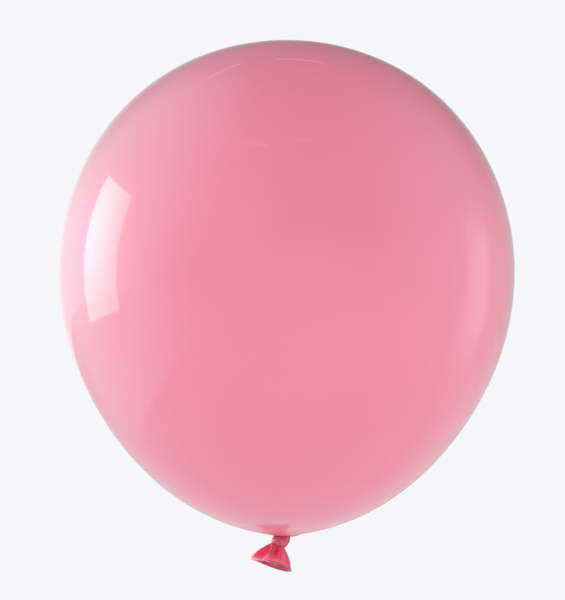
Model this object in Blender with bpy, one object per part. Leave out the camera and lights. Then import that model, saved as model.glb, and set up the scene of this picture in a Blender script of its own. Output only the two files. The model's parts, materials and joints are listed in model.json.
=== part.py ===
"""Tied latex party balloon, in metres, with +Z up.

The balloon is one dipped latex moulding, blown up and closed with an overhand
knot in its own neck. The origin is the tie, the narrowest place between the
inflated envelope and the knot, and +Z runs from the tie to the crown. Below it,
the knot and the flattened tail lean to the -X side, and the tail's open mouth is
tipped a little towards -Y.
"""

import math

import bmesh
import bpy
from mathutils import Vector

MM = 0.001
GAP = 0.3 * MM                      # kept between neighbouring pieces

# Envelope, the inflated film.
ENVELOPE_WIDTH = 279 * MM
MEAN_RADIUS = 0.5176 * ENVELOPE_WIDTH
EGG_TERMS = (0.0396, -0.0167, 0.0045, -0.0029)   # cosine terms 2 to 5: tall, then wider near the top
CENTRE_HEIGHT = 155.7 * MM          # of the egg's centre above the tie
FILM = 0.4 * MM                     # wall of the model; the stretched film is far thinner
THROAT_RADIUS = 3.2 * MM
NECK_PULL = 2.4 * MM                # how far the tied neck draws the film down
NECK_REACH = 17.5 * MM              # and how far from the axis that is felt
ENVELOPE_SEGMENTS = 48
ENVELOPE_RINGS = 30

# Gathered neck, which closes the throat and narrows to the tie.
NECK_PLEATS = 9
NECK_RADIUS = THROAT_RADIUS - GAP - 0.1 * MM
TIE_RADIUS = 0.9 * MM
NECK_TOP = 2.2 * MM
NECK_SHOULDER = 0.7 * MM
TIE_HALF_GAP = 0.15 * MM

# Tail: a flattened funnel that hangs from its root, just under the knot.
TAIL_ROOT = Vector((-2.75, -0.8, -8.0)) * MM
TAIL_LEAN = math.radians(17.4)      # to -X
TAIL_TIP = math.radians(20)         # mouth towards -Y
TAIL_LENGTH = 9.7 * MM
TAIL_WALL = 0.5 * MM
ROOT_HALF_WIDTH = 4.6 * MM
ROOT_RADIUS = 1.4 * MM
MOUTH_HALF_WIDTH = 12.6 * MM
MOUTH_HALF_DEPTH = 5.0 * MM
HOLLOW_START = 2.0 * MM
LEFT_FLARE = 1.0                    # 1 is a straight edge
RIGHT_FLARE = 0.55                  # below 1 bulges outwards
BEAD_RADIUS = 0.9 * MM

# Knot: the strand that was pulled through, and the turn wrapped round it.
STRAND_RADIUS = 1.65 * MM
STRAND_START = 0.3 * MM             # below the tie
STRAND_TO_ROOT = 0.8 * MM           # kept clear above the tail's rounded root
STRAND_PLEATS = 7
WRAP_CENTRE = Vector((0.3, 0, -4.0)) * MM
WRAP_HALF_SIZE = Vector((5.9, 4.6, 3.3)) * MM
WRAP_LEAN = math.radians(22)

LATEX_PINK = (0.86, 0.27, 0.36)
KNOT_ROSE = (0.50, 0.10, 0.17)
TAIL_PINK = (0.80, 0.07, 0.17)
LIP_PINK = (0.72, 0.33, 0.40)


def clear_scene():
    for obj in list(bpy.data.objects):
        bpy.data.objects.remove(obj, do_unlink=True)


def latex(name, colour, roughness):
    material = bpy.data.materials.new(name)
    material.use_nodes = True
    shader = material.node_tree.nodes["Principled BSDF"]
    shader.inputs["Base Color"].default_value = (*colour, 1)
    shader.inputs["Roughness"].default_value = roughness
    shader.inputs["Metallic"].default_value = 0
    return material


def add_object(name, mesh, material, parent=None):
    obj = bpy.data.objects.new(name, mesh)
    bpy.context.collection.objects.link(obj)
    mesh.materials.append(material)
    obj.parent = parent
    return obj


def add_pivot(name, location, rotation=(0, 0, 0), parent=None):
    pivot = bpy.data.objects.new(name, None)
    bpy.context.collection.objects.link(pivot)
    pivot.location = location
    pivot.rotation_euler = rotation
    pivot.parent = parent
    return pivot


def loft(name, rings):
    """Close a stack of equal rings, the first and last of them with a cap, into one solid."""
    bm = bmesh.new()
    loops = [[bm.verts.new(point) for point in ring] for ring in rings]
    for upper, lower in zip(loops, loops[1:]):
        for index, vert in enumerate(upper):
            after = (index + 1) % len(upper)
            bm.faces.new((vert, upper[after], lower[after], lower[index]))
    bm.faces.new(reversed(loops[0]))
    bm.faces.new(loops[-1])
    bmesh.ops.recalc_face_normals(bm, faces=bm.faces)
    mesh = bpy.data.meshes.new(name)
    bm.to_mesh(mesh)
    bm.free()
    mesh.shade_smooth()
    mesh.set_sharp_from_angle(angle=math.radians(40))
    return mesh


def circle_angles(count):
    return [2 * math.pi * index / count for index in range(count)]


def pleated_ring(radius, height, pleats, depth, twist=0.0):
    """A ring round Z whose radius dips in at each pleat, by a share of the radius."""
    ring = []
    for angle in circle_angles(6 * pleats):
        reach = radius * (1 - depth * (0.5 - 0.5 * math.cos(pleats * angle)))
        ring.append(Vector((reach * math.cos(angle + twist), reach * math.sin(angle + twist), height)))
    return ring


def envelope_point(angle):
    """Distance from the axis, and height, of the film at an angle from the crown."""
    shape = sum(term * math.cos(order * angle) for order, term in enumerate(EGG_TERMS, start=2))
    reach = MEAN_RADIUS * (1 + shape)
    radius = reach * math.sin(angle)
    height = CENTRE_HEIGHT + reach * math.cos(angle)
    if angle > math.pi / 2:
        height -= NECK_PULL * math.exp(-radius / NECK_REACH)
    return radius, height


def throat_angle():
    """The angle from the crown where the film meets the throat, found by halving."""
    low, high = math.pi / 2, math.pi
    for _ in range(40):
        middle = (low + high) / 2
        if envelope_point(middle)[0] > THROAT_RADIUS:
            low = middle
        else:
            high = middle
    return low


def make_envelope(material):
    """The film: an egg outline turned round Z, closer rings near the throat, then a wall inwards."""
    last = throat_angle()
    mesh = bpy.data.meshes.new("envelope")
    points = []
    for index in range(ENVELOPE_RINGS + 1):
        share = 1 - (1 - index / ENVELOPE_RINGS) ** 1.4
        radius, height = envelope_point(last * share)
        points.append((radius, 0, height))
    edges = [(index, index + 1) for index in range(ENVELOPE_RINGS)]
    mesh.from_pydata(points, edges, [])
    obj = add_object("envelope", mesh, material)
    turn = obj.modifiers.new("turn", "SCREW")
    turn.steps = ENVELOPE_SEGMENTS
    turn.render_steps = ENVELOPE_SEGMENTS
    turn.use_merge_vertices = True
    turn.merge_threshold = 0.01 * MM
    wall = obj.modifiers.new("wall", "SOLIDIFY")
    wall.thickness = FILM
    wall.offset = -1
    return obj


def make_neck_gather(material):
    """The pleated neck, from inside the throat down to the tie."""
    sections = (
        (0.6 * NECK_RADIUS, NECK_TOP),
        (0.9 * NECK_RADIUS, 0.9 * NECK_TOP),
        (NECK_RADIUS, 0.6 * NECK_TOP),
        (NECK_RADIUS, NECK_SHOULDER),
        (0.6 * NECK_RADIUS, 0.6 * NECK_SHOULDER),
        (TIE_RADIUS, TIE_HALF_GAP),
    )
    rings = [pleated_ring(radius, height, NECK_PLEATS, 0.15) for radius, height in sections]
    return add_object("neck_gather", loft("neck_gather", rings), material)


def aim_down(obj, direction):
    """Turn an object so that its own -Z runs along a direction."""
    obj.rotation_euler = direction.to_track_quat("-Z", "Y").to_euler()


def make_knot_strand(material, pivot):
    """The strand from the tie to the tail, pleated and with half a turn of twist."""
    end = TAIL_ROOT.length - ROOT_RADIUS - STRAND_TO_ROOT
    rings = [pleated_ring(0.45 * STRAND_RADIUS, -STRAND_START, STRAND_PLEATS, 0.12)]
    steps = 8
    for index in range(steps + 1):
        share = index / steps
        height = -(2.5 * STRAND_START + (end - 2.5 * STRAND_START) * share)
        radius = STRAND_RADIUS * (0.8 + 0.2 * min(1, 4 * share))
        rings.append(pleated_ring(radius, height, STRAND_PLEATS, 0.12, share * math.pi / 2))
    obj = add_object("knot_strand", loft("knot_strand", rings), material, pivot)
    aim_down(obj, TAIL_ROOT)
    return obj


def make_knot_wrap(material, pivot):
    """The turn round the strand: a leaning, rounded band with the strand's hole cut through."""
    bm = bmesh.new()
    bmesh.ops.create_uvsphere(bm, u_segments=36, v_segments=20, radius=1)
    bmesh.ops.scale(bm, vec=WRAP_HALF_SIZE, verts=bm.verts)
    mesh = bpy.data.meshes.new("knot_wrap")
    bm.to_mesh(mesh)
    bm.free()
    mesh.shade_smooth()
    obj = add_object("knot_wrap", mesh, material, pivot)
    obj.location = WRAP_CENTRE
    obj.rotation_euler = (0, WRAP_LEAN, 0)

    bm = bmesh.new()
    hole = STRAND_RADIUS + GAP
    bmesh.ops.create_cone(bm, cap_ends=True, segments=32, radius1=hole, radius2=hole, depth=4 * TAIL_ROOT.length)
    cutter_mesh = bpy.data.meshes.new("strand_hole")
    bm.to_mesh(cutter_mesh)
    bm.free()
    cutter = bpy.data.objects.new("strand_hole", cutter_mesh)
    bpy.context.collection.objects.link(cutter)
    cutter.parent = pivot
    aim_down(cutter, TAIL_ROOT)
    cutter.hide_render = True
    cutter.display_type = "WIRE"
    cut = obj.modifiers.new("strand_hole", "BOOLEAN")
    cut.operation = "DIFFERENCE"
    cut.solver = "EXACT"
    cut.object = cutter
    return obj


def tail_ring(left, right, depth, down):
    """A flattened ring across the tail, whose two ends may reach different distances."""
    ring = []
    for angle in circle_angles(36):
        side = right if math.cos(angle) > 0 else left
        ring.append(Vector((side * math.cos(angle), depth * math.sin(angle), -down)))
    return ring


def tail_section(down, inset):
    """The skirt's ring at a distance below the root's axis, taken in by a wall."""
    share = down / TAIL_LENGTH
    spread = MOUTH_HALF_WIDTH - ROOT_HALF_WIDTH
    left = ROOT_HALF_WIDTH + spread * share ** LEFT_FLARE
    right = ROOT_HALF_WIDTH + spread * share ** RIGHT_FLARE
    depth = ROOT_RADIUS + (MOUTH_HALF_DEPTH - ROOT_RADIUS) * share
    return tail_ring(left - inset, right - inset, depth - inset, down)


def make_tail_skirt(material, pivot):
    """The funnel: a rounded root on the pivot's X axis, the outside, then the hollow back up."""
    rings = []
    for degrees in (75, 50, 25):
        angle = math.radians(degrees)
        half_width = ROOT_HALF_WIDTH - ROOT_RADIUS * (1 - math.cos(angle))
        rings.append(tail_ring(half_width, half_width, ROOT_RADIUS * math.cos(angle), -ROOT_RADIUS * math.sin(angle)))
    steps = 9
    for index in range(steps + 1):
        rings.append(tail_section(TAIL_LENGTH * index / steps, 0))
    for index in range(steps + 1):
        down = TAIL_LENGTH + (HOLLOW_START - TAIL_LENGTH) * index / steps
        rings.append(tail_section(down, TAIL_WALL))
    return add_object("tail_skirt", loft("tail_skirt", rings), material, pivot)


def make_lip_bead(material, pivot):
    """The rolled rim: a round bead that follows the flattened mouth."""
    curve = bpy.data.curves.new("lip_bead", "CURVE")
    curve.dimensions = "3D"
    curve.bevel_depth = BEAD_RADIUS
    curve.bevel_resolution = 3
    path = curve.splines.new("POLY")
    angles = circle_angles(48)
    path.points.add(len(angles) - 1)
    down = TAIL_LENGTH + GAP + BEAD_RADIUS
    for point, angle in zip(path.points, angles):
        point.co = (MOUTH_HALF_WIDTH * math.cos(angle), MOUTH_HALF_DEPTH * math.sin(angle), -down, 1)
    path.use_cyclic_u = True
    path.use_smooth = True
    return add_object("lip_bead", curve, material, pivot)


def main():
    clear_scene()
    film = latex("latex_film", LATEX_PINK, 0.18)
    knotted = latex("latex_knotted", KNOT_ROSE, 0.45)
    slack = latex("latex_slack", TAIL_PINK, 0.40)
    rolled = latex("latex_rolled", LIP_PINK, 0.45)

    make_envelope(film)
    make_neck_gather(knotted)

    knot_pivot = add_pivot("knot_pivot", (0, 0, 0))
    make_knot_strand(knotted, knot_pivot)
    make_knot_wrap(knotted, knot_pivot)

    tail_pivot = add_pivot("tail_pivot", TAIL_ROOT, (-TAIL_TIP, TAIL_LEAN, 0), knot_pivot)
    make_tail_skirt(slack, tail_pivot)
    make_lip_bead(rolled, tail_pivot)


main()
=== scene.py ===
import json
import math

import bpy
from mathutils import Euler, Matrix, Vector


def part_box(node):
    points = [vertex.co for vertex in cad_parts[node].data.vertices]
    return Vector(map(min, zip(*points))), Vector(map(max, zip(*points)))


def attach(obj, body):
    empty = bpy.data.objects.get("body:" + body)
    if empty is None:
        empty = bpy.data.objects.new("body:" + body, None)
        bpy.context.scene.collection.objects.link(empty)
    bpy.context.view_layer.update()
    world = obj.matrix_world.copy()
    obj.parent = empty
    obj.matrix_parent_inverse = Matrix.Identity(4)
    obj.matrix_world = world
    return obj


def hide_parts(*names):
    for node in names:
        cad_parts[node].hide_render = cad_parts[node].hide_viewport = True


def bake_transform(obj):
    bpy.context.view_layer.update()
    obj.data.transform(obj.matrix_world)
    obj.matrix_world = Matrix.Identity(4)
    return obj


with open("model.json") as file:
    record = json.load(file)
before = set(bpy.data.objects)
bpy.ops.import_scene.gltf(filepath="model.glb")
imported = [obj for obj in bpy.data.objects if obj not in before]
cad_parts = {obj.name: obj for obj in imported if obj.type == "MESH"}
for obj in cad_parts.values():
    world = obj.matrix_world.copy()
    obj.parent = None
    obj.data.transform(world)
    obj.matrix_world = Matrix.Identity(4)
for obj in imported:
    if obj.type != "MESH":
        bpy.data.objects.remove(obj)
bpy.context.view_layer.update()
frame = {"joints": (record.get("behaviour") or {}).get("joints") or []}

MM = 0.001

# Envelope outline: the CAD design's egg, drawn here on a much finer mesh.
ENVELOPE_LOW, ENVELOPE_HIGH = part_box("envelope")
ENVELOPE_WIDTH = ENVELOPE_HIGH.x - ENVELOPE_LOW.x
MEAN_RADIUS = 0.5186 * ENVELOPE_WIDTH
EGG_TERMS = (0.0396, -0.0167, 0.0045, -0.0029)
CENTRE_HEIGHT = 155.7 * MM
NECK_PULL = 2.4 * MM
NECK_REACH = 17.5 * MM
NECK_PLEATS = 17

# One fold of film pinched out of the neck, lying along the underside towards +X.
CREASE_DEPTH = 0.95 * MM
CREASE_WIDTH = 0.85 * MM
CREASE_START = 3.0 * MM
CREASE_FULL = 5.0 * MM
CREASE_FADES = 9.0 * MM
CREASE_END = 15.0 * MM

# Camera: level with the balloon, far away, rolled a little because the balloon leans.
VIEW_SPAN = 367.62 * MM
LENS = 200
SENSOR = 36
ROLL = math.radians(1.2)
CENTRE_RIGHT = 2.38953 * MM
CENTRE_UP = 11.0286 * MM
CLIP_END = 50

# Studio: what lights the balloon (walls, overhead) and what its film mirrors are set apart.
BACKDROP = (0.922, 0.922, 0.939)
WALL_LEFT = (1.58, 1.58, 1.60)
WALL_RIGHT = (1.50, 1.50, 1.52)
OVERHEAD = (0.57, 0.57, 0.58)
MIRRORED_FRONT = (0.45, 0.45, 0.46)
MIRRORED_LEFT = (1.15, 1.15, 1.17)
MIRRORED_RIGHT = (0.55, 0.57, 0.60)
FLOOR_HEIGHT = -1.6
FLOOR_RADIUS = 14.0

# The tail's own frame: its root is the CAD hinge, its mouth is tipped forward, and it leans to -X.
TAIL_HINGE = next(joint for joint in frame["joints"] if joint["name"] == "tail_flap")
TAIL_ROOT = Vector(TAIL_HINGE["pos_m"])
MOUTH_TIP = math.radians(-20)
TAIL_LEAN = math.radians(17.4)
TAIL_TURN = Euler((MOUTH_TIP, TAIL_LEAN, 0)).to_matrix()


# ---------------------------------------------------------------- mesh helpers

def smooth_step(low, high, value):
    """0 up to low, 1 from high on, smooth between; low above high turns it round."""
    share = min(1, max(0, (value - low) / (high - low)))
    return share * share * (3 - 2 * share)


def bump(value, centre, width):
    """A bell of height 1 round a centre."""
    return math.exp(-((value - centre) / width) ** 2)


def skin(name, rings, cap_last=True, joined=False):
    """One smooth surface over a stack of closed rings; joined links the last ring to the first."""
    count = len(rings[0])
    verts = [tuple(point) for ring in rings for point in ring]
    faces = []
    rows = len(rings)
    for row in range(rows if joined else rows - 1):
        upper = row * count
        lower = ((row + 1) % rows) * count
        for index in range(count):
            after = (index + 1) % count
            faces.append((upper + index, lower + index, lower + after, upper + after))
    if not joined:
        faces.append(tuple(range(count)))
    if cap_last and not joined:
        faces.append(tuple(reversed(range((rows - 1) * count, rows * count))))
    mesh = bpy.data.meshes.new(name)
    mesh.from_pydata(verts, [], faces)
    mesh.update()
    mesh.shade_smooth()
    obj = bpy.data.objects.new(name, mesh)
    bpy.context.collection.objects.link(obj)
    return obj


def finish_piece(obj, body, slot, material, *nodes):
    """Dress a piece and bind it to its body; with no body it is left for a blend to bind."""
    obj.data.materials.append(material)
    if body:
        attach(obj, body)
    if nodes:
        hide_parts(*nodes)


def circle_angles(count):
    """Evenly spaced angles once round."""
    return [2 * math.pi * index / count for index in range(count)]


def through(points, share):
    """A smooth curve through a short list of points (Catmull-Rom), read at a share of its length."""
    spans = len(points) - 1
    place = min(share * spans, spans - 1e-9)
    index = int(place)
    t = place - index
    before = points[max(index - 1, 0)]
    start, end = points[index], points[index + 1]
    after = points[min(index + 2, spans)]
    return 0.5 * (
        2 * start
        + (end - before) * t
        + (2 * before - 5 * start + 4 * end - after) * t ** 2
        + (3 * start - before - 3 * end + after) * t ** 3
    )


# ---------------------------------------------------------------- materials

LATEX_IOR = 1.5
FILM_PINK_DARK = (0.880, 0.215, 0.306)
FILM_PINK_LIGHT = (0.900, 0.231, 0.324)
FILM_CLOUDS = 9.0
FILM_GRAIN = 240.0
FILM_ROUGHNESS = (0.050, 0.075)
NECK_PINK = (0.86, 0.10, 0.19)
NECK_COLOUR_REACH = (3 * MM, 26 * MM)
NECK_DULL_REACH = (14 * MM, 50 * MM)
NECK_DULLNESS = 0.36
# Painted shade: a dark red laid along the pinched fold at the neck, darker than the gathered film's own
# deeper pink.
CREASE_PAINTED_SHADE = (0.42, 0.04, 0.09)
SLACK_MOTTLE = 350.0
SLACK_GRAIN = 900.0
SATIN_SPREAD = 0.06
FLOOR_DARK = (0.86, 0.86, 0.875)
FLOOR_LIGHT = (0.89, 0.89, 0.905)


def new_material(name):
    material = bpy.data.materials.new(name)
    material.use_nodes = True
    nodes = material.node_tree.nodes
    return material, nodes, material.node_tree.links, nodes["Principled BSDF"]


def add_noise(nodes, links, source, scale, detail=3.0, roughness=0.5):
    noise = nodes.new("ShaderNodeTexNoise")
    noise.inputs["Scale"].default_value = scale
    noise.inputs["Detail"].default_value = detail
    noise.inputs["Roughness"].default_value = roughness
    links.new(source, noise.inputs["Vector"])
    return noise.outputs["Fac"]


def add_range(nodes, links, source, low, high, out_low, out_high, smooth=False):
    ranged = nodes.new("ShaderNodeMapRange")
    ranged.interpolation_type = "SMOOTHSTEP" if smooth else "LINEAR"
    ranged.inputs["From Min"].default_value = low
    ranged.inputs["From Max"].default_value = high
    ranged.inputs["To Min"].default_value = out_low
    ranged.inputs["To Max"].default_value = out_high
    links.new(source, ranged.inputs["Value"])
    return ranged.outputs["Result"]


def add_mix(nodes, links, factor, first, second):
    mix = nodes.new("ShaderNodeMix")
    mix.data_type = "RGBA"
    links.new(factor, mix.inputs["Factor"])
    for socket, value in ((mix.inputs["A"], first), (mix.inputs["B"], second)):
        if isinstance(value, tuple):
            socket.default_value = (*value, 1)
        else:
            links.new(value, socket)
    return mix.outputs["Result"]


def add_math(nodes, links, operation, first, second=None):
    node = nodes.new("ShaderNodeMath")
    node.operation = operation
    links.new(first, node.inputs[0])
    if second:
        links.new(second, node.inputs[1])
    return node.outputs["Value"]


def add_split(nodes, links, source):
    split = nodes.new("ShaderNodeSeparateXYZ")
    links.new(source, split.inputs[0])
    return split.outputs


def add_bump(nodes, links, height, strength, distance):
    node = nodes.new("ShaderNodeBump")
    node.inputs["Strength"].default_value = strength
    node.inputs["Distance"].default_value = distance
    links.new(height, node.inputs["Height"])
    return node.outputs["Normal"]


def crease_shade_mask(nodes, links, place):
    """Where the film is painted darker as shade: 1 along the pinched fold of film at the neck and 0 away
    from it.
    """
    split = add_split(nodes, links, place)
    beside = add_math(nodes, links, "ABSOLUTE", split["Y"])
    mask = add_range(nodes, links, beside, 0.2 * MM, CREASE_WIDTH, 1, 0, smooth=True)
    for axis, low, high, out_low, out_high in (
        ("X", CREASE_START, CREASE_FULL, 0, 1),
        ("X", CREASE_FADES, CREASE_END, 1, 0),
        ("Z", 6 * MM, 9 * MM, 1, 0),
    ):
        limit = add_range(nodes, links, split[axis], low, high, out_low, out_high, smooth=True)
        mask = add_math(nodes, links, "MULTIPLY", mask, limit)
    return mask


def film_material():
    """Stretched latex: glossy pink with a broad sheen, deeper and duller where it gathers at the neck,
    and painted darker along the pinched fold there as shade.
    """
    material, nodes, links, shader = new_material("stretched_latex")
    place = nodes.new("ShaderNodeTexCoord").outputs["Object"]
    clouds = add_noise(nodes, links, place, FILM_CLOUDS, 2.0)
    patches = add_range(nodes, links, clouds, 0.3, 0.7, 0, 1)
    pink = add_mix(nodes, links, patches, FILM_PINK_DARK, FILM_PINK_LIGHT)
    length = nodes.new("ShaderNodeVectorMath")
    length.operation = "LENGTH"
    links.new(place, length.inputs[0])
    distance = length.outputs["Value"]
    near_neck = add_range(nodes, links, distance, *NECK_COLOUR_REACH, 1, 0, smooth=True)
    film = add_mix(nodes, links, near_neck, pink, NECK_PINK)
    crease = crease_shade_mask(nodes, links, place)
    # The pinched fold is painted dark red as shade.
    links.new(add_mix(nodes, links, crease, film, CREASE_PAINTED_SHADE), shader.inputs["Base Color"])
    grain = add_noise(nodes, links, place, FILM_GRAIN, 4.0, 0.6)
    gloss = add_range(nodes, links, grain, 0.3, 0.7, *FILM_ROUGHNESS)
    dull = add_range(nodes, links, distance, *NECK_DULL_REACH, NECK_DULLNESS, 0.0, smooth=True)
    links.new(add_math(nodes, links, "ADD", gloss, dull), shader.inputs["Roughness"])
    links.new(add_bump(nodes, links, grain, 0.02, 0.2 * MM), shader.inputs["Normal"])
    shader.inputs["IOR"].default_value = LATEX_IOR
    shader.inputs["Coat Weight"].default_value = 1.0
    shader.inputs["Coat Roughness"].default_value = 0.55
    shader.inputs["Coat IOR"].default_value = LATEX_IOR
    return material


def slack_material(name, light, dark, roughness, painted_light_tints=()):
    """Unstretched latex: saturated, satin, with a fine powdery grain.

    Each tint is painted light: (direction, start, end, colour), where that colour takes over along the
    direction, between the two distances from the tie.
    """
    material, nodes, links, shader = new_material(name)
    place = nodes.new("ShaderNodeTexCoord").outputs["Object"]
    mottle = add_noise(nodes, links, place, SLACK_MOTTLE)
    patches = add_range(nodes, links, mottle, 0.35, 0.65, 0, 1)
    colour = add_mix(nodes, links, patches, dark, light)
    # Painted light: each tint lays a lit or highlighted colour along its direction.
    for direction, start, end, other in painted_light_tints:
        along = nodes.new("ShaderNodeVectorMath")
        along.operation = "DOT_PRODUCT"
        links.new(place, along.inputs[0])
        along.inputs[1].default_value = direction
        share = add_range(nodes, links, along.outputs["Value"], start, end, 0, 1, smooth=True)
        colour = add_mix(nodes, links, share, colour, other)
    links.new(colour, shader.inputs["Base Color"])
    grain = add_noise(nodes, links, place, SLACK_GRAIN, 5.0, 0.6)
    smoother, rougher = roughness - SATIN_SPREAD, roughness + SATIN_SPREAD
    satin = add_range(nodes, links, grain, 0.3, 0.7, smoother, rougher)
    links.new(satin, shader.inputs["Roughness"])
    links.new(add_bump(nodes, links, grain, 0.25, 0.15 * MM), shader.inputs["Normal"])
    shader.inputs["IOR"].default_value = LATEX_IOR
    shader.inputs["Coat Weight"].default_value = 0.6
    shader.inputs["Coat Roughness"].default_value = 0.16
    return material


def floor_material():
    """A plain pale floor with very faint clouding."""
    material, nodes, links, shader = new_material("pale_floor")
    place = nodes.new("ShaderNodeTexCoord").outputs["Object"]
    clouds = add_noise(nodes, links, place, 1.5, 2.0)
    patches = add_range(nodes, links, clouds, 0.3, 0.7, 0, 1)
    links.new(add_mix(nodes, links, patches, FLOOR_DARK, FLOOR_LIGHT), shader.inputs["Base Color"])
    shader.inputs["Roughness"].default_value = 0.7
    return material


# ---------------------------------------------------------------- envelope and neck

FILM_ROWS = 190
FILM_SEGMENTS = 16 * NECK_PLEATS
THROAT = 2.2 * MM
PLEAT_DEPTH = 0.22 * MM
PLEAT_REACH = 5 * MM
# The pleated neck from the throat down into the knot: radius, height, in mm.
NECK_STATIONS = ((2.0, -0.1), (1.8, -0.7), (1.7, -1.6), (1.5, -2.6))


def envelope_point(angle):
    """Distance from the axis, and height, of the film at an angle from the crown."""
    shape = sum(term * math.cos(order * angle) for order, term in enumerate(EGG_TERMS, start=2))
    reach = MEAN_RADIUS * (1 + shape)
    radius = reach * math.sin(angle)
    height = CENTRE_HEIGHT + reach * math.cos(angle)
    if angle > math.pi / 2:
        height -= NECK_PULL * math.exp(-radius / NECK_REACH)
    return radius, height


def pleat_wave(angle):
    """The pleats round the neck, from -1 to 1, spaced a little unevenly."""
    return math.cos(NECK_PLEATS * angle + 0.6 * math.sin(2 * angle))


def crease_drop(radius, angle):
    """How far the pinched fold hangs below the film."""
    if math.cos(angle) <= 0:
        return 0
    across = radius * math.sin(angle) / CREASE_WIDTH
    begins = smooth_step(CREASE_START, CREASE_FULL, radius)
    ends = smooth_step(CREASE_END, 8 * MM, radius)
    return CREASE_DEPTH * begins * ends * math.exp(-across ** 2)


def make_envelope(material):
    """The film from a point-like crown down to the tie, where it runs on as pleats into the knot."""
    rings = []
    for index in range(1, FILM_ROWS + 1):
        share = 1 - (1 - index / FILM_ROWS) ** 1.5
        low = share > 0.5
        radius, height = envelope_point(math.pi * share * 0.9975)
        if low and radius < THROAT:
            break
        depth = PLEAT_DEPTH * math.exp(-radius / PLEAT_REACH) if low else 0
        ring = []
        for angle in circle_angles(FILM_SEGMENTS):
            lift = depth * pleat_wave(angle)
            if low:
                lift -= crease_drop(radius, angle)
            ring.append((radius * math.cos(angle), radius * math.sin(angle), height + lift))
        rings.append(ring)
    for radius, height in NECK_STATIONS:
        ring = []
        for angle in circle_angles(FILM_SEGMENTS):
            reach = radius * (1 + 0.10 * pleat_wave(angle))
            ring.append((reach * MM * math.cos(angle), reach * MM * math.sin(angle), height * MM))
        rings.append(ring)
    obj = skin("balloon_film", rings)
    finish_piece(obj, "balloon", "film", material, "envelope", "neck_gather")


# ---------------------------------------------------------------- knot

# The knot from the tie down: middle (X, Z) in mm, lean in degrees, then reach to the left, right
# and front in mm.
KNOT_STATIONS = (
    (0.2, 0.5, 0, 3.6, 3.6, 2.4),
    (0.2, -0.2, 2, 4.8, 4.9, 3.5),
    (0.0, -1.6, 8, 5.1, 5.2, 4.2),
    (-0.3, -2.9, 14, 5.4, 4.9, 4.3),
    (-0.8, -4.2, 19, 5.3, 4.4, 4.1),
    (-1.3, -5.3, 22, 5.0, 4.0, 3.5),
    (-1.6, -6.0, 22, 4.0, 3.0, 2.6),
    (-1.7, -6.2, 22, 2.0, 1.6, 1.4),
)
# Each crease: its angle from the front at the top, and how far it slants round by the bottom.
KNOT_CREASES = ((-0.50, 1.05), (1.50, -0.5), (3.0, 1.1))
KNOT_ROWS = 160
KNOT_SEGMENTS = 280
STRAND_PATH = ((0, 0, -0.4), (-0.3, 0.1, -2.2), (-1.0, 0.2, -4.4), (-1.8, 0.3, -6.2))
STRAND_ROWS = 60
STRAND_SEGMENTS = 72


def knot_relief(around, share):
    """Height of the knot's surface, in mm: the turn laps over itself along slanting creases."""
    relief = 0.0
    for crease_top, slant in KNOT_CREASES:
        crease = crease_top + slant * share - math.pi / 2
        gap = (around - crease + math.pi) % (2 * math.pi) - math.pi
        relief -= 0.50 * math.exp(-(gap / 0.11) ** 2)
        lap = math.exp(-(gap / 0.55) ** 2)
        relief += (0.54 * smooth_step(-0.06, 0.14, gap) - 0.12) * lap
        relief += 0.05 * math.cos(22 * gap) * math.exp(-(gap / 0.9) ** 2)
    ends = smooth_step(0, 0.12, share) * smooth_step(1, 0.85, share)
    return relief * ends


def make_knot_wrap(material):
    """The turn of the knot: a leaning barrel pressed against the film, creased where it laps itself."""
    stations = [Vector((x, 0, z)) for x, z, lean, left, right, front in KNOT_STATIONS]
    sizes = [Vector((left, right, front)) for x, z, lean, left, right, front in KNOT_STATIONS]
    leans = [Vector((lean, 0, 0)) for x, z, lean, left, right, front in KNOT_STATIONS]
    rings = []
    for index in range(KNOT_ROWS + 1):
        share = index / KNOT_ROWS
        middle = through(stations, share)
        left, right, front = through(sizes, share)
        turn = Euler((0, math.radians(through(leans, share).x), 0)).to_matrix()
        ring = []
        for around in circle_angles(KNOT_SEGMENTS):
            side = math.cos(around)
            reach = right if side > 0 else left
            relief = knot_relief(around, share)
            point = Vector(((reach + relief) * side, (front + relief) * math.sin(around), 0))
            ring.append((middle + turn @ point) * MM)
        rings.append(ring)
    obj = skin("knot_turn", rings)
    finish_piece(obj, None, "knotted", material, "knot_wrap")
    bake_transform(obj)


def make_knot_strand(material):
    """The strand through the turn, twisted and pleated, from the tie to the tail's root."""
    path = [Vector(point) * MM for point in STRAND_PATH]
    rings = []
    for index in range(STRAND_ROWS + 1):
        share = index / STRAND_ROWS
        centre = through(path, share)
        radius = (1.5 + 0.7 * bump(share, 0.0, 0.25)) * MM
        ring = []
        for around in circle_angles(STRAND_SEGMENTS):
            reach = radius * (1 + 0.12 * math.cos(9 * around + 2 * share))
            offset = Vector((reach * math.cos(around), 0.8 * reach * math.sin(around), 0))
            ring.append(centre + offset)
        rings.append(ring)
    obj = skin("knot_core", rings)
    finish_piece(obj, None, "knotted", material, "knot_strand")
    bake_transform(obj)


# ---------------------------------------------------------------- tail

# Distances down the tail from its root: the top inside the knot, where the wall turns hollow,
# and the mouth.
TAIL_START = -2.6 * MM
TAIL_HOLLOW = 2.0 * MM
TAIL_LENGTH = 9.9 * MM
TAIL_ROWS = 70
TAIL_SEGMENTS = 260
EDGE_ONLY = 8
TAIL_TOP_WIDTH = 4.2 * MM
MOUTH_LEFT = 12.9 * MM
MOUTH_RIGHT = 12.5 * MM
TAIL_TOP_DEPTH = 1.9 * MM
MOUTH_DEPTH = 4.8 * MM
FILM_WALL = 0.35 * MM
RIM_SEGMENTS = 20


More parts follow.
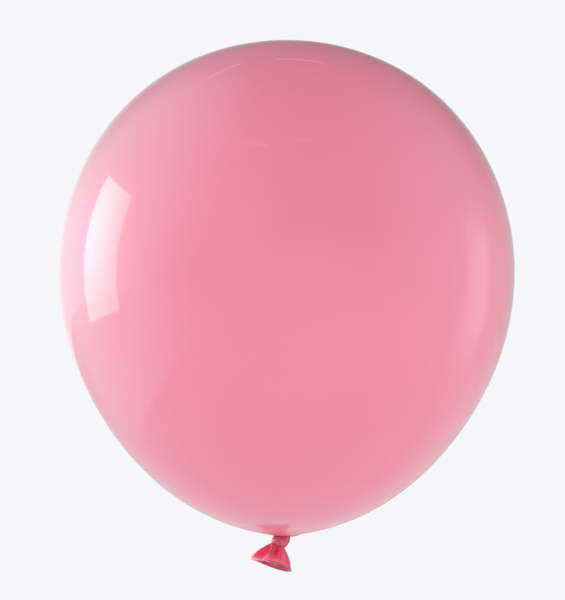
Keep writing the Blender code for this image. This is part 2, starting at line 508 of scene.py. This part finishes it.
def tail_folds(side, front, share):
    """Share of the depth the slack film is pushed out (+) or pulled in (-) by its folds."""
    slack = (1 - share) ** 0.8
    if front > 0:
        ridge = -0.36 - 0.55 * math.exp(-share / 0.13)
        pocket = smooth_step(0.02, 0.25, share) * smooth_step(0.92, 0.60, share)
        folds = 1.60 * bump(side, ridge, 0.09) * (1 - 0.75 * share)
        folds -= 0.75 * bump(side, -0.68, 0.17) * pocket
        folds -= 1.40 * bump(side, 0.02, 0.11) * slack * smooth_step(0.70, 0.25, share)
        folds += 0.60 * bump(side, 0.46, 0.18) * (1 - 0.7 * share)
        folds -= 0.45 * bump(side, 0.80, 0.12) * slack
        folds += 0.18 * bump(side, 0.15, 0.12) * share * (1 - share) * 4
    else:
        folds = -0.75 * bump(side, 0.15, 0.15) * slack + 0.45 * bump(side, -0.30, 0.2) * slack
        folds += 0.35 * bump(side, 0.55, 0.16) * slack - 0.40 * bump(side, -0.68, 0.12) * slack
    gathered = 0.25 + 0.75 * smooth_step(0.0, 0.30, share)
    return gathered * folds * abs(front) ** 0.5


def tail_point(around, down, inset):
    """A point of the skirt in the tail's frame: X across, -Y to the front, -Z down to the mouth."""
    share = (down - TAIL_START) / (TAIL_LENGTH - TAIL_START)
    side = math.cos(around)
    front = -math.sin(around)
    mouth = MOUTH_RIGHT if side > 0 else MOUTH_LEFT
    width = TAIL_TOP_WIDTH + (mouth - TAIL_TOP_WIDTH) * share * (1.6 - 0.6 * share)
    depth = TAIL_TOP_DEPTH + (MOUTH_DEPTH - TAIL_TOP_DEPTH) * share ** 1.5
    pull = 0.07 * math.cos(23 * around) * (1 - share) ** 2
    thick = (depth - inset) * (1 + tail_folds(side, front, share) + pull)
    lift = (1.3 * side - 0.05) * MM * max(front, 0) - 0.35 * MM * (1 + side) * max(-front, 0)
    # The wall is thinned sideways only at the two edges, so it can't cross itself in a steep fold.
    narrowed = width - inset * abs(side) ** EDGE_ONLY
    return Vector((narrowed * side, -thick * front, lift * share ** 3 - down))


def tail_rows(start, end, inset):
    """Rings of the skirt between two distances down, on the outer wall or inset from it."""
    rings = []
    for index in range(TAIL_ROWS + 1):
        down = start + (end - start) * index / TAIL_ROWS
        points = [tail_point(around, down, inset) for around in circle_angles(TAIL_SEGMENTS)]
        rings.append([TAIL_ROOT + TAIL_TURN @ point for point in points])
    return rings


def make_funnel(material):
    """The slack skirt: down the outside to the mouth, then back up the inside."""
    rings = tail_rows(TAIL_START, TAIL_LENGTH, 0) + tail_rows(TAIL_LENGTH, TAIL_HOLLOW, FILM_WALL)
    obj = skin("tail_funnel", rings)
    finish_piece(obj, None, "slack", material, "tail_skirt")
    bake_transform(obj)


def make_rim(material):
    """The rolled rim round the mouth, thicker at its two ends."""
    rings = []
    for around in circle_angles(TAIL_SEGMENTS):
        rim = tail_point(around, TAIL_LENGTH, FILM_WALL / 2)
        outward = Vector((rim.x / MOUTH_LEFT ** 2, rim.y / MOUTH_DEPTH ** 2, 0)).normalized()
        side = math.cos(around)
        swell = 0.55 * bump(side, -1, 0.25) + 0.30 * bump(side, 1, 0.08)
        radius = (0.62 + swell - 0.12 * max(math.sin(around), 0)) * MM
        rim -= outward * (swell * MM)
        ring = []
        for turn in circle_angles(RIM_SEGMENTS):
            reach = radius * (1 + 0.05 * math.cos(3 * turn + 2 * around))
            offset = outward * (reach * math.cos(turn)) + Vector((0, 0, reach * math.sin(turn)))
            ring.append(TAIL_ROOT + TAIL_TURN @ (rim + offset))
        rings.append(ring)
    bead = skin("rolled_rim", rings, joined=True)
    finish_piece(bead, "tail", "rolled", material, "lip_bead")


# ---------------------------------------------------------------- studio

BALLOON_MIDDLE = (0, 0, 0.155)
FLOOR_RINGS = (0.5, 1.0, 2.0, 4.0, 8.0, FLOOR_RADIUS)
WARM = (1.0, 0.94, 0.80)
COOL = (0.30, 0.80, 1.0)
# Ceiling tubes: place, length, power.
CEILING_TUBES = (
    ((-0.41, 0.77, 1.37), 0.26, 0.022),
    ((0.065, 0.81, 1.40), 0.30, 0.022),
    ((-0.35, -0.71, 1.41), 0.34, 0.030),
    ((0.12, -0.71, 1.46), 0.24, 0.030),
)
TUBE_WIDTH = 0.02


def aim(obj, target):
    obj.rotation_euler = (Vector(target) - obj.location).to_track_quat("-Z", "Y").to_euler()


def add_panel(name, location, size, power, target=BALLOON_MIDDLE, diffuse=True):
    data = bpy.data.lights.new(name, "AREA")
    data.shape = "RECTANGLE"
    data.size, data.size_y = size
    data.energy = power
    obj = bpy.data.objects.new(name, data)
    bpy.context.collection.objects.link(obj)
    obj.location = location
    aim(obj, target)
    obj.visible_camera = False
    obj.visible_diffuse = diffuse
    return obj


def make_camera():
    data = bpy.data.cameras.new("camera")
    data.sensor_width = SENSOR
    data.lens = LENS
    camera = bpy.data.objects.new("camera", data)
    bpy.context.collection.objects.link(camera)
    distance = VIEW_SPAN * LENS / SENSOR
    right = Vector((math.cos(ROLL), 0, math.sin(ROLL)))
    up = Vector((-math.sin(ROLL), 0, math.cos(ROLL)))
    target = Vector((0, 0, CENTRE_HEIGHT)) - right * CENTRE_RIGHT - up * CENTRE_UP
    camera.location = target + Vector((0, -distance, 0))
    camera.rotation_euler = Euler((math.pi / 2, -ROLL, 0))
    data.clip_end = CLIP_END
    bpy.context.scene.camera = camera


def make_floor():
    rings = []
    for radius in FLOOR_RINGS:
        angles = circle_angles(96)
        rings.append([(radius * math.cos(a), radius * math.sin(a), FLOOR_HEIGHT) for a in angles])
    floor = skin("floor", rings, cap_last=False)
    floor.data.flip_normals()
    floor.data.materials.append(floor_material())


def grey(nodes, links, value):
    """A value as a grey colour."""
    colour = nodes.new("ShaderNodeCombineColor")
    for channel in ("Red", "Green", "Blue"):
        links.new(value, colour.inputs[channel])
    return colour.outputs["Color"]


def make_world():
    """A pale studio: bright round the horizon, dim overhead, with a plain backdrop for the camera.

    What the film mirrors is dimmer than what lights it, because most of the light comes from large
    soft sources in front; the mirrored backdrop is paler on the left and dark overhead behind.
    """
    world = bpy.data.worlds.new("studio")
    world.use_nodes = True
    nodes, links = world.node_tree.nodes, world.node_tree.links
    split = add_split(nodes, links, nodes.new("ShaderNodeTexCoord").outputs["Generated"])

    height = add_range(nodes, links, split["Z"], 0.0, 0.9, 0, 1, smooth=True)
    sides = add_range(nodes, links, split["X"], -0.7, 0.7, 0, 1, smooth=True)
    wall = add_mix(nodes, links, sides, WALL_LEFT, WALL_RIGHT)
    soft = add_mix(nodes, links, height, wall, OVERHEAD)

    across = add_range(nodes, links, split["X"], -0.45, 0.35, 0, 1, smooth=True)
    backdrop = add_mix(nodes, links, across, MIRRORED_LEFT, MIRRORED_RIGHT)
    behind = add_range(nodes, links, split["Y"], -0.5, 0.1, 0, 1, smooth=True)
    room = add_mix(nodes, links, behind, MIRRORED_FRONT, backdrop)
    dimming = add_range(nodes, links, split["X"], -0.65, 0.05, 0.62, 0.18)
    ceiling = grey(nodes, links, dimming)
    above = add_range(nodes, links, split["Z"], 0.02, 0.40, 0, 1, smooth=True)
    mirrored = add_mix(nodes, links, above, room, ceiling)

    path = nodes.new("ShaderNodeLightPath")
    lighting = add_mix(nodes, links, path.outputs["Is Glossy Ray"], soft, mirrored)
    seen = add_mix(nodes, links, path.outputs["Is Camera Ray"], lighting, BACKDROP)
    links.new(seen, nodes["Background"].inputs["Color"])
    bpy.context.scene.world = world


def shade_panel(panel, hot_place, hot_gain, falloff, edge):
    """Brightens a panel round one place on its face, and fades its edges over a share of its size."""
    data = panel.data
    data.use_nodes = True
    nodes, links = data.node_tree.nodes, data.node_tree.links
    emission = nodes["Emission"]
    face = nodes.new("ShaderNodeNewGeometry").outputs["Parametric"]
    distance = nodes.new("ShaderNodeVectorMath")
    distance.operation = "DISTANCE"
    links.new(face, distance.inputs[0])
    distance.inputs[1].default_value = (*hot_place, 0)
    glow = add_range(nodes, links, distance.outputs["Value"], 0, falloff, hot_gain, 1, smooth=True)
    if edge:
        split = add_split(nodes, links, face)
        for axis in ("X", "Y"):
            for start, end in ((0, edge), (1, 1 - edge)):
                fade = add_range(nodes, links, split[axis], start, end, 0, 1, smooth=True)
                glow = add_math(nodes, links, "MULTIPLY", glow, fade)
    links.new(glow, emission.inputs["Strength"])


def make_lights():
    """A wash on the floor, and soft sources that only the film's reflections show."""
    under = (0, 0, FLOOR_HEIGHT)
    wash = add_panel("floor_wash", (0, 0, FLOOR_HEIGHT + 0.5), (9.0, 9.0), 45.0, target=under)
    wash.visible_glossy = False
    softbox = add_panel("left_softbox", (-1.36, 0.33, 0.30), (0.69, 0.94), 5.6, diffuse=False)
    softbox.data.color = WARM
    shade_panel(softbox, (0.45, 0.68), 1.8, 0.70, 0)
    side = add_panel("right_panel", (1.30, 0.40, 0.10), (0.70, 1.30), 2.2, diffuse=False)
    shade_panel(side, (0.5, 0.5), 1.0, 0.5, 0.35)
    left = add_panel("left_window", (-1.77, 0.25, 0.45), (5.5, 10.0), 250.0, diffuse=False)
    right = add_panel("right_window", (1.69, -0.05, 0.80), (5.0, 6.0), 60.0, diffuse=False)
    for window in (left, right):
        window.data.color = COOL
        shade_panel(window, (0.5, 0.5), 1.0, 0.5, 0.5)
    for index, (location, length, power) in enumerate(CEILING_TUBES, start=1):
        add_panel(f"ceiling_tube_{index}", location, (length, TUBE_WIDTH), power, diffuse=False)


# ---------------------------------------------------------------- the scene

def make_slack():
    """The tail's latex, with painted light: a left lobe painted brighter where light falls on it from the
    left, and a painted highlight that makes it paler towards the rim.
    """
    toward_rim = TAIL_TURN @ Vector((0, -0.8, -1))
    rim = toward_rim.dot(TAIL_ROOT) + TAIL_LENGTH + 0.8 * MOUTH_DEPTH
    painted_light_tints = (
        # Painted light: the left lobe is brighter, as if lit from the left.
        ((-1, 0, 0), 7.5 * MM, 9.5 * MM, (0.96, 0.055, 0.145)),
        # Painted highlight: paler towards the rim.
        (toward_rim, rim - 5.5 * MM, rim - 1.0 * MM, (0.88, 0.18, 0.25)),
    )
    return slack_material("slack_latex", (0.80, 0.090, 0.17), (0.70, 0.065, 0.14), 0.30, painted_light_tints)


def make_rolled():
    """The rim's latex, with a painted highlight that makes it paler towards the left end."""
    # Painted highlight: paler towards the left end of the rim.
    painted_light_tints = (((-1, 0, 0), 4 * MM, 17 * MM, (0.85, 0.36, 0.42)),)
    return slack_material("rolled_latex", (0.54, 0.16, 0.21), (0.44, 0.11, 0.15), 0.42, painted_light_tints)


def main():
    make_camera()
    make_floor()
    make_world()
    make_lights()
    make_envelope(film_material())
    knotted = slack_material("knotted_latex", (0.68, 0.105, 0.165), (0.54, 0.055, 0.095), 0.38)
    make_knot_wrap(knotted)
    make_knot_strand(knotted)
    make_funnel(make_slack())
    make_rim(make_rolled())
    bpy.context.scene.view_settings.view_transform = "Standard"


main()
